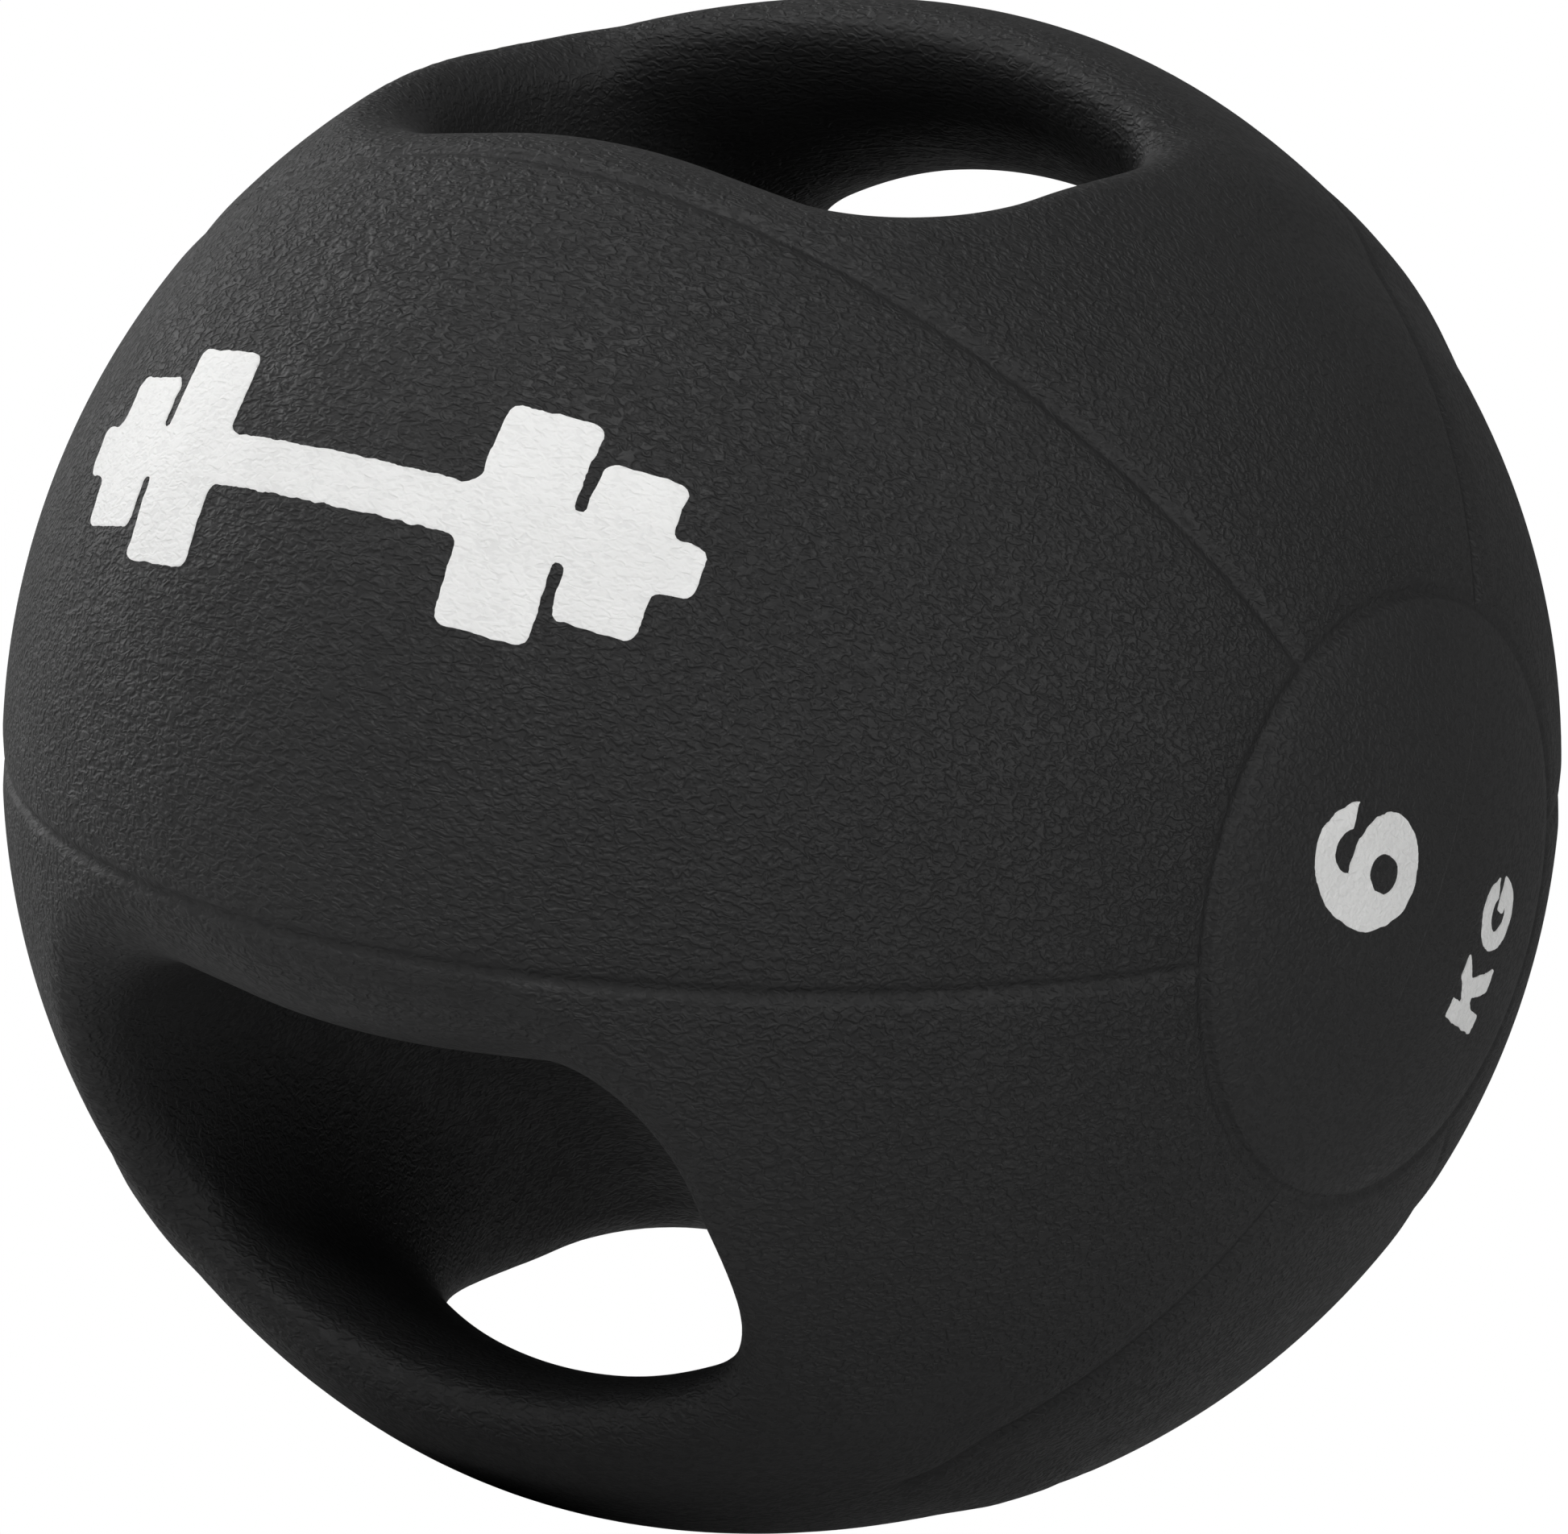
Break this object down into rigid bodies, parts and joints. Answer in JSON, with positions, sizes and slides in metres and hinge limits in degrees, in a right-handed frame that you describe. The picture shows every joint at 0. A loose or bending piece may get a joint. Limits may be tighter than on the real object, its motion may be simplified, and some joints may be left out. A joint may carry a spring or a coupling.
{
  "type": "dual-grip medicine ball",
  "caption": "Hollow rubber exercise ball with a moulded hand grip across an opening at the top and another at the bottom.",
  "frame": {"origin": "centre of the ball", "axes": "+Z from the centre through the top grip, +X through a weight badge, -Y through the printed front panel"},
  "size_m": [0.27, 0.2702, 0.2692],
  "materials": {
    "cover_rubber": "pebbled, satin",
    "wall_rubber": "plain, matt",
    "core_rubber": "plain, matt",
    "valve_rubber": "smooth, matt",
    "white_ink": "printed, satin"
  },
  "bodies": {
    "root": {"cover_front_half": "cover_rubber", "cover_rear_half": "cover_rubber", "wall_front_half": "wall_rubber", "wall_rear_half": "wall_rubber", "grip_core_top": "core_rubber", "grip_core_bottom": "core_rubber", "valve_insert": "valve_rubber", "front_mark_print": "white_ink", "weight_figure_right": "white_ink", "unit_letter_k_right": "white_ink", "unit_letter_g_right": "white_ink", "weight_figure_left": "white_ink", "unit_letter_k_left": "white_ink", "unit_letter_g_left": "white_ink"}
  },
  "joints": []
}
